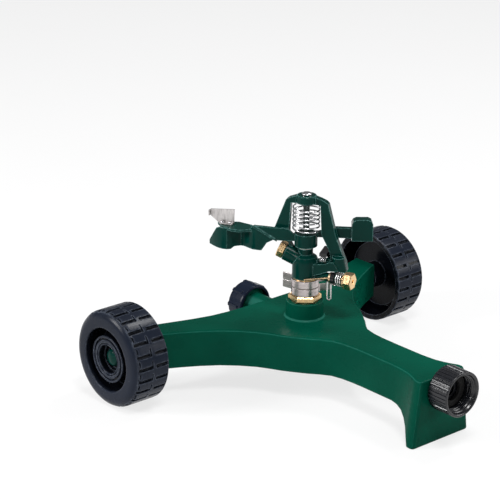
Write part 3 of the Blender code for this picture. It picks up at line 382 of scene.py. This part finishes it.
def piece(name, data, material, node):
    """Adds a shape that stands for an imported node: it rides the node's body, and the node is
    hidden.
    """
    made = bpy.data.objects.new(name, data)
    bpy.context.scene.collection.objects.link(made)
    data.materials.append(material)
    if isinstance(data, bpy.types.Mesh):
        data.shade_smooth()
        data.set_sharp_from_angle(angle=math.radians(SMOOTH_DEG))
        even = made.modifiers.new("even_shading", "WEIGHTED_NORMAL")
        even.keep_sharp = True
    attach(made, frame["nodes"][node]["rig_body"])
    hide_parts(node)
    return made


# Moulded and machined pieces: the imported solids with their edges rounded

MERGE_DISTANCE = 0.00006
FLAT_DEG = 0.8                 # faces that meet at less than this become one
EDGE_DEG = 28.0                # edges sharper than this are rounded
HIDDEN_WIDTH = 0.00001         # rounding of the shut-in pieces, which have none to be seen
HIDDEN_EDGE_DEG = 80.0


def rounded(node, name, material, width, segments=2, edge_deg=EDGE_DEG):
    """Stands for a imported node: the same solid with its outward and inward edges rounded."""
    source = frame["nodes"][node]
    work = bmesh.new()
    work.from_mesh(source.data)
    bmesh.ops.remove_doubles(work, verts=work.verts, dist=MERGE_DISTANCE)
    bmesh.ops.dissolve_limit(work, angle_limit=math.radians(FLAT_DEG), verts=work.verts,
                             edges=work.edges)
    sharp = [edge for edge in work.edges
             if len(edge.link_faces) == 2 and edge.calc_face_angle(0.0) > math.radians(edge_deg)]
    bmesh.ops.bevel(work, geom=sharp, offset=width, offset_type="OFFSET", segments=segments,
                    profile=0.5, affect="EDGES", clamp_overlap=True, miter_outer="ARC",
                    loop_slide=True)
    data = bpy.data.meshes.new(name)
    work.to_mesh(data)
    work.free()
    return piece(name, data, material, node)


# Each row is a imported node, the piece that stands for it, its look and the width in metres by
# which its edges are rounded
ROUNDED = (
    ("base_body", "base_moulding", base_green, 0.0007),
    ("head_body", "head_moulding", head_green, 0.0003),
    ("impact_arm", "arm_moulding", head_green, 0.0004),
    ("axle_pin_left", "left_axle_pin", head_green, 0.0003),
    ("axle_pin_right", "right_axle_pin", head_green, 0.0003),
    ("end_cap", "outlet_cap_moulding", cap_black, 0.0004),
    ("trip_lever", "lever_moulding", deep_black, 0.0006),
    ("bearing_nut", "hex_nut", bearing_brass, 0.0003),
    ("range_nozzle", "barrel_nozzle", bearing_brass, 0.0003),
    ("spreader_nozzle", "port_nozzle", bearing_brass, 0.0003),
    ("trip_collar_lower", "lower_collar_band", band_steel, 0.0002),
    ("trip_collar_upper", "upper_collar_band", band_steel, 0.0002),
    ("deflector_plate", "deflector_sheet", plate_steel, 0.0002),
    ("deflector_rivet_1", "rivet_1", bright_wire, 0.0001),
    ("deflector_rivet_2", "rivet_2", bright_wire, 0.0001),
    ("fulcrum_pin", "arm_pin", pin_steel, 0.0002),
    ("arm_washer", "hub_washer", nylon, 0.0002),
    ("trip_rod", "eye_rod", wire_brass, 0.00015),
    ("hose_washer", "inlet_seal", rubber, 0.0003),
    ("inlet_spud", "swivel_spud", nut_black, 0.0002),
    ("water_tube", "line_tube", nut_black, 0.0003),
    ("bearing_tube", "swivel_tube", bearing_brass, 0.0002),
    ("end_cap_washer", "outlet_seal", rubber, 0.0002),
    ("bearing_washer_lower", "bearing_seal", rubber, 0.0),
    ("bearing_washer_upper", "bearing_ring", nylon, 0.0),
    ("bearing_spring", "bearing_coil", dull_wire, 0.0),
)
for node_name, piece_name, look, edge_width in ROUNDED:
    if edge_width:
        rounded(node_name, piece_name, look, edge_width)
    else:
        rounded(node_name, piece_name, look, HIDDEN_WIDTH, segments=1, edge_deg=HIDDEN_EDGE_DEG)


def closed_grid(work, rings):
    """Faces over rings of points that close both along and across; returns them by place."""
    made = [[work.verts.new(Vector(point) * MM) for point in ring] for ring in rings]
    faces = {}
    for j, row in enumerate(made):
        after = made[(j + 1) % len(made)]
        for i in range(len(row)):
            k = (i + 1) % len(row)
            faces[i, j] = work.faces.new((row[i], row[k], after[k], after[i]))
    return faces


def facing(outward, place):
    """The matrix that moves a shape to a place and turns its Z to an outward direction."""
    return Matrix.Translation(place) @ Vector(outward).to_track_quat("Z", "Y").to_matrix().to_4x4()


def finish_mesh(work, name, matrix):
    bmesh.ops.transform(work, matrix=matrix, verts=work.verts)
    bmesh.ops.recalc_face_normals(work, faces=work.faces)
    data = bpy.data.meshes.new(name)
    work.to_mesh(data)
    work.free()
    return data


# Wheels: a turned profile whose tread has straight grooves, small side legs and shoulder slots

WHEEL_FACE_X = 0.1513
TREAD_BLOCKS = 24
TREAD_START = 1.2              # degrees
TREAD_CELLS = (0.0, 4.2, 6.0, 9.4, 12.4)          # degrees within the pitch of one block
TREAD_FLOOR_R = 0.0353
TREAD_EDGE_DEG = 50.0          # edges of the tread sharper than this are rounded
TREAD_EDGE_R = 0.0364          # and only outside this radius
TREAD_EDGE_WIDTH = 0.00022
# Which faces of the tread are sunk, by their cell round the wheel and their row across it
GROOVE_CELL, GROOVE_ROWS = 0, (0, 1, 2, 3, 4, 6)
SLOT_CELLS, SLOT_ROW = (2, 3), 1
LEG_CELLS, LEG_ROW = (1, 2), 4
# Each point of a profile is a radius and a height from the wheel's face, in millimetres
TREAD = ((36.5, -3.4), (36.85, -3.9), (37.35, -4.9), (37.5, -6.5), (37.5, -15.4), (37.5, -16.4),
         (37.5, -19.0), (37.5, -30.3))
WHEEL_BACK = ((37.1, -30.7), (36.4, -30.9), (33.6, -30.9), (33.0, -30.6), (33.0, -6.0),
              (27.4, -3.8), (27.2, -20.0), (10.6, -20.0), (10.2, -30.5), (9.9, -30.9),
              (6.8, -30.9), (6.5, -30.6))
WHEEL_FRONT = ((6.5, -10.4), (9.8, -10.4), (9.9, -7.7), (10.1, -7.4), (10.7, -7.4), (10.9, -2.9),
               (11.3, -2.3), (11.7, -2.0), (12.0, -2.2), (12.1, -3.6), (12.7, -3.6), (12.8, -2.2),
               (13.1, -1.9), (14.7, -1.9), (15.0, -2.2), (15.2, -4.2), (16.4, -4.2), (16.6, -2.2),
               (17.0, -1.9), (17.8, -1.9), (18.2, -2.2), (18.4, -2.9), (18.6, -17.0), (24.4, -17.0),
               (24.5, -1.2), (24.7, -0.5), (25.2, -0.1), (26.0, 0.0), (30.4, -0.05), (32.2, -0.3),
               (33.7, -0.8), (34.9, -1.6), (35.8, -2.4), (36.15, -2.75), (35.75, -3.0),
               (36.35, -3.2))


def is_sunk(cell, row):
    return (cell == GROOVE_CELL and row in GROOVE_ROWS or cell in SLOT_CELLS and row == SLOT_ROW
            or cell in LEG_CELLS and row == LEG_ROW)


def wheel_data(name, side):
    profile = TREAD + WHEEL_BACK + WHEEL_FRONT
    pitch = 360.0 / TREAD_BLOCKS
    angles = [math.radians(TREAD_START + block * pitch + cell)
              for block in range(TREAD_BLOCKS) for cell in TREAD_CELLS]
    work = bmesh.new()
    faces = closed_grid(work, [[(r * math.cos(a), r * math.sin(a), h) for a in angles]
                               for r, h in profile])
    sunk = [face for (i, j), face in faces.items() if is_sunk(i % len(TREAD_CELLS), j)]
    for vert in bmesh.ops.extrude_face_region(work, geom=sunk)["geom"]:
        if isinstance(vert, bmesh.types.BMVert):
            scale = TREAD_FLOOR_R / math.hypot(vert.co.x, vert.co.y)
            vert.co.x *= scale
            vert.co.y *= scale
    bmesh.ops.delete(work, geom=sunk, context="FACES_ONLY")
    brim = [edge for edge in work.edges
            if len(edge.link_faces) == 2
            and edge.calc_face_angle(0.0) > math.radians(TREAD_EDGE_DEG)
            and min(math.hypot(v.co.x, v.co.y) for v in edge.verts) > TREAD_EDGE_R]
    bmesh.ops.bevel(work, geom=brim, offset=TREAD_EDGE_WIDTH, offset_type="OFFSET", segments=2,
                    profile=0.5, affect="EDGES", clamp_overlap=True)
    return finish_mesh(work, name, facing((side, 0, 0), (side * WHEEL_FACE_X, WHEEL_Y, WHEEL_Z)))


piece("left_wheel", wheel_data("left_wheel", -1), tyre_black, "wheel_left")
piece("right_wheel", wheel_data("right_wheel", 1), tyre_black, "wheel_right")


# Swivel nut: straight ridges outside, a stepped mouth and a hose thread inside

NUT_FRONT_Y = -0.12935
NUT_RIDGES = 36
RIDGE = (0.07, 0.0, 0.0, 0.0, 0.07, 0.93, 1.0, 0.93)       # depth at eight places of one ridge
NUT_LENGTH = 18.9
NUT_BORE = 13.5
SEAT_BORE = 9.9                # behind the seat of the washer
THREAD_PITCH = 2.2
THREAD_DEPTH = 0.8
THREAD_SPAN = (2.4, 9.4)       # distances behind the front face where the thread starts and ends
THREAD_FADE = 1.2              # length over which it comes up and runs out
THREAD_FIRST, THREAD_STEP, THREAD_RINGS = 2.6, 0.25, 28
CREST_TOP, CREST_SLOPE = 2.6, 8.0          # profile of the crest before it is cut off at 0 and 1
# Each level is a distance behind the front face, a radius and the depth of the ridges there
NUT_OUTSIDE = ((NUT_LENGTH, 15.9, 0.0), (18.5, 16.6, 0.4), (18.0, 17.0, 0.8), (17.5, 17.2, 0.8),
               (1.7, 17.2, 0.8), (1.4, 17.2, 0.6), (1.1, 17.2, 0.2), (0.8, 17.2, 0.0),
               (0.4, 17.1, 0.0), (0.1, 16.8, 0.0), (0.0, 16.5, 0.0))
NUT_MOUTH = ((0.0, 15.9), (0.1, 15.5), (0.4, 15.1), (0.9, 14.6), (1.9, 14.4), (2.2, 14.1),
             (2.4, NUT_BORE))
NUT_INSIDE = ((9.6, NUT_BORE), (15.6, NUT_BORE), (15.9, NUT_BORE - 0.3), (15.9, SEAT_BORE),
              (NUT_LENGTH, SEAT_BORE))


def thread_depth(turn, behind):
    """Depth of the thread's crest at a share of a turn and a distance behind the front face."""
    phase = (behind / THREAD_PITCH - turn) % 1.0
    crest = min(1.0, max(0.0, CREST_TOP - CREST_SLOPE * abs(phase - 0.5)))
    start, end = THREAD_SPAN
    near = min((behind - start) / THREAD_FADE, (end - behind) / THREAD_FADE)
    return THREAD_DEPTH * crest * min(1.0, max(0.0, near))


def nut_data(name):
    count = NUT_RIDGES * len(RIDGE)
    turns = [(i + 0.5) / count for i in range(count)]

    def ring(behind, radii):
        return [(r * math.cos(2 * math.pi * t), r * math.sin(2 * math.pi * t), -behind)
                for t, r in zip(turns, radii)]

    rings = [ring(behind, [r - depth * RIDGE[i % len(RIDGE)] for i in range(count)])
             for behind, r, depth in NUT_OUTSIDE]
    rings += [ring(behind, [r] * count) for behind, r in NUT_MOUTH]
    for step in range(THREAD_RINGS):
        behind = THREAD_FIRST + THREAD_STEP * step
        rings.append(ring(behind, [NUT_BORE - thread_depth(t, behind) for t in turns]))
    rings += [ring(behind, [r] * count) for behind, r in NUT_INSIDE]
    work = bmesh.new()
    closed_grid(work, rings)
    return finish_mesh(work, name, facing((0, -1, 0), (0, NUT_FRONT_Y, PIPE_Z)))


piece("swivel_nut", nut_data("swivel_nut"), nut_black, "inlet_nut")


# Wires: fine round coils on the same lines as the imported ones, in the head's own millimetres

PORT_TURN = math.radians(167.0)
PORT_Z = 86.3
WIRE_ROUNDNESS = 4
RUN_LENGTH = 1.6               # long straight runs of the hairpin are cut to about this
CURVE_STEPS = 3
ARM_COIL = {"radius": 10.0, "low": 121.3, "high": 141.0, "turns": -6.0, "start": 172.0,
            "steps": 288, "wire": 1.3}
LEVER_COIL = {"radius": 2.2, "turns": 3, "step": -1.25, "per_turn": 32,
              "start": (-13.4, 5.4, 100.4), "tail": (-1.0, 0.7, 2.0), "wire": 0.7}
HAIRPIN = {"wire": 1.2, "left": (-18.0, 2.3, 0.0), "left_top": 81.6, "bend_z": 68.2, "bend_cuts": 6,
           "right": (-20.7, 2.0, 0.0), "right_steps": ((-0.1, 0.1, 79.4), (-0.7, 0.2, 80.4)),
           "under_port": (25.4, -1.4, -5.6), "coil_r": 4.85, "coil_start": 27.0,
           "coil_step": 1.75, "turns": 3, "per_turn": 20, "start": -75.0}


def head_point(point):
    """From the head's own millimetres to metres in the model's frame."""
    return HEAD_AXIS + Matrix.Rotation(HEAD_TURN, 3, "Z") @ Vector(point) * MM


def port_point(point):
    """From the spreader port's own millimetres to the head's: x runs out along the port."""
    return Matrix.Rotation(PORT_TURN, 3, "Z") @ Vector(point) + Vector((0, 0, PORT_Z))


def smooth_line(points, steps):
    """A Catmull-Rom curve through points, after long runs are cut into short ones."""
    short = [Vector(points[0])]
    for point in points[1:]:
        start = short[-1]
        cuts = max(1, round((Vector(point) - start).length / RUN_LENGTH))
        short += [start.lerp(Vector(point), (i + 1) / cuts) for i in range(cuts)]
    ends = [2 * short[0] - short[1]] + short + [2 * short[-1] - short[-2]]
    line = []
    for a, b, c, d in zip(ends, ends[1:], ends[2:], ends[3:]):
        for i in range(steps):
            t = i / steps
            line.append((2 * b + (c - a) * t + (2 * a - 5 * b + 4 * c - d) * t ** 2
                         + (3 * b - a - 3 * c + d) * t ** 3) / 2)
    return line + [short[-1]]


def run_on(points, end, before, length):
    """The point that carries a line straight on past one of its ends."""
    return points[end] + (points[end] - points[before]).normalized() * length


def wire(name, points, diameter, material, node):
    """A round wire through points in the head's own millimetres."""
    data = bpy.data.curves.new(name, "CURVE")
    data.dimensions = "3D"
    data.bevel_depth = diameter * MM / 2
    data.bevel_resolution = WIRE_ROUNDNESS
    data.use_fill_caps = True
    run = data.splines.new("POLY")
    run.points.add(len(points) - 1)
    for spot, point in zip(run.points, points):
        spot.co = (*head_point(point), 1.0)
    return piece(name, data, material, node)


def arm_coil_points():
    coil = ARM_COIL
    points = []
    for i in range(coil["steps"] + 1):
        angle = math.radians(coil["start"]) + 2 * math.pi * coil["turns"] * i / coil["steps"]
        points.append(Vector((coil["radius"] * math.cos(angle), coil["radius"] * math.sin(angle),
                              coil["low"] + (coil["high"] - coil["low"]) * i / coil["steps"])))
    return [run_on(points, 0, 1, coil["wire"])] + points + [run_on(points, -1, -2, coil["wire"])]


def lever_coil_points():
    coil = LEVER_COIL
    points = []
    for i in range(coil["turns"] * coil["per_turn"] + 1):
        angle = 2 * math.pi * i / coil["per_turn"]
        points.append(Vector(coil["start"]) + Vector((coil["step"] * i / coil["per_turn"],
                                                      coil["radius"] * math.cos(angle),
                                                      coil["radius"] * math.sin(angle))))
    return [run_on(points, 0, 1, coil["wire"])] + points + [points[-1] + Vector(coil["tail"])]


def hairpin_points():
    pin = HAIRPIN
    left = Vector(pin["left"])
    right = Vector(pin["right"])
    middle = (left + right) / 2
    half = (right - left) / 2
    points = [left + Vector((0, 0, pin["left_top"])), left + Vector((0, 0, pin["bend_z"]))]
    for i in range(1, pin["bend_cuts"]):
        angle = math.pi * i / pin["bend_cuts"]
        drop = pin["bend_z"] - half.length * math.sin(angle)
        points.append(middle - half * math.cos(angle) + Vector((0, 0, drop)))
    points.append(right + Vector((0, 0, pin["bend_z"])))
    points += [right + Vector(step) for step in pin["right_steps"]]
    coil = []
    for i in range(pin["turns"] * pin["per_turn"] + 1):
        angle = math.radians(pin["start"]) + 2 * math.pi * i / pin["per_turn"]
        coil.append(Vector((pin["coil_start"] + pin["coil_step"] * i / pin["per_turn"],
                            pin["coil_r"] * math.cos(angle), pin["coil_r"] * math.sin(angle))))
    along, aside, below = pin["under_port"]
    points.append(port_point((along, coil[0].y + aside, below)))
    coil.append(run_on(coil, -1, -2, pin["wire"]))
    return smooth_line(points + [port_point(point) for point in coil], CURVE_STEPS)


wire("arm_coil", arm_coil_points(), ARM_COIL["wire"], bright_wire, "arm_spring")
wire("lever_coil", lever_coil_points(), LEVER_COIL["wire"], bright_wire, "trip_spring")
wire("hairpin_wire", hairpin_points(), HAIRPIN["wire"], dull_wire, "trip_wire")


# Floor

FLOOR_SIZE = 12.0
FLOOR_Z = -0.0001              # just under the foot and the treads
FLOOR_WHITES = ((0.86, 0.86, 0.86), (0.88, 0.88, 0.88))
BACKDROP_SHARE = 0.75          # how much of the floor's seen colour is the plain white backdrop


def plane(name, size, height):
    work = bmesh.new()
    bmesh.ops.create_grid(work, x_segments=1, y_segments=1, size=size / 2)
    bmesh.ops.translate(work, verts=work.verts, vec=(0, 0, height))
    data = bpy.data.meshes.new(name)
    work.to_mesh(data)
    work.free()
    made = bpy.data.objects.new(name, data)
    bpy.context.scene.collection.objects.link(made)
    return made


floor = plane("floor", FLOOR_SIZE, FLOOR_Z)
floor_look, floor_tree, floor_shader = shader("floor_white", Roughness=0.9, Specular_IOR_Level=0.1)
socket(floor_tree, floor_shader.inputs["Base Color"],
       mix(floor_tree, noise(floor_tree, mapped(floor_tree), scale=8.0), *FLOOR_WHITES))
seen = add(floor_tree, "ShaderNodeLightPath").outputs
direct = maths(floor_tree, "MAXIMUM", seen["Is Camera Ray"],
               maths(floor_tree, "MAXIMUM", seen["Is Glossy Ray"], seen["Is Transmission Ray"]))
white = add(floor_tree, "ShaderNodeEmission", {"Color": (1.0, 1.0, 1.0, 1.0), "Strength": 1.0})
blend = add(floor_tree, "ShaderNodeMixShader",
            {0: maths(floor_tree, "MULTIPLY", direct, BACKDROP_SHARE),
             1: floor_shader.outputs["BSDF"], 2: white.outputs["Emission"]})
socket(floor_tree, floor_tree.nodes["Material Output"].inputs["Surface"], blend.outputs["Shader"])
floor.data.materials.append(floor_look)


# Lamps and the studio round them

LAMP_TARGET = (0.0, 0.0, 0.05)
# Each lamp is a name, a place, its two sizes and its watts
LAMPS = (
    ("right_box", (1.05, -0.92, 0.50), (0.7, 0.45), 6.0),
    ("left_box", (-1.22, 0.66, 0.72), (0.44, 0.40), 17.0),
    ("top_box", (-0.30, -0.52, 1.38), (0.40, 0.40), 10.5),
    ("high_box", (0.70, 0.05, 1.25), (0.34, 0.34), 7.5),
    ("front_box", (-1.08, -0.855, 0.665), (0.12, 0.12), 1.4),
)
# Grey of the studio from straight down, at 0, to straight up, at 1
STUDIO = ((0.0, 0.5), (0.5, 0.3), (0.6, 0.16), (0.75, 0.16), (0.87, 0.25), (1.0, 0.4))
STUDIO_BLUE = 1.02             # how much bluer than grey it is


def softbox(name, place, size, watts):
    lamp = bpy.data.lights.new(name, "AREA")
    lamp.shape = "RECTANGLE"
    lamp.size, lamp.size_y = size
    lamp.energy = watts
    made = bpy.data.objects.new(name, lamp)
    made.location = place
    made.rotation_mode = "QUATERNION"
    aim = Vector(LAMP_TARGET) - Vector(place)
    made.rotation_quaternion = aim.to_track_quat("-Z", "Y")
    bpy.context.scene.collection.objects.link(made)


for lamp_row in LAMPS:
    softbox(*lamp_row)

world = bpy.data.worlds.new("studio")
bpy.context.scene.world = world
world.use_nodes = True
sky = world.node_tree
heading = height_of(sky, add(sky, "ShaderNodeTexCoord").outputs["Generated"])
walls = add(sky, "ShaderNodeValToRGB", {"Fac": ramp(sky, heading, -1.0, 1.0, curve="LINEAR")})
walls.color_ramp.interpolation = "EASE"
stops = walls.color_ramp.elements
for index, (place, level) in enumerate(STUDIO):
    stop = stops[index] if index < len(stops) else stops.new(place)
    stop.position = place
    stop.color = (level, level, level * STUDIO_BLUE, 1.0)
socket(sky, sky.nodes["Background"].inputs["Color"], walls.outputs["Color"])


# Camera of the photograph

CAMERA_PLACE = (-0.97463, -1.006361, 0.633527)
CAMERA_RIGHT = (0.75324927, -0.65766741, 0.00944045)
CAMERA_UP = (0.22201275, 0.26773711, 0.93756449)
CAMERA_FORWARD = (0.61913317, 0.70412387, -0.34768333)
CAMERA_LENS = 144.117          # millimetres
CAMERA_SENSOR = 36.0           # millimetres
CAMERA_REACH = 30.0

lens = bpy.data.cameras.new("view")
lens.lens = CAMERA_LENS
lens.sensor_width = CAMERA_SENSOR
lens.clip_end = CAMERA_REACH
view = bpy.data.objects.new("view", lens)
bpy.context.scene.collection.objects.link(view)
columns = (Vector(CAMERA_RIGHT), Vector(CAMERA_UP), -Vector(CAMERA_FORWARD))
turn = Matrix([[column[row] for column in columns] for row in range(3)]).to_4x4()
view.matrix_world = Matrix.Translation(CAMERA_PLACE) @ turn
bpy.context.scene.camera = view

bpy.context.scene.view_settings.view_transform = "Standard"
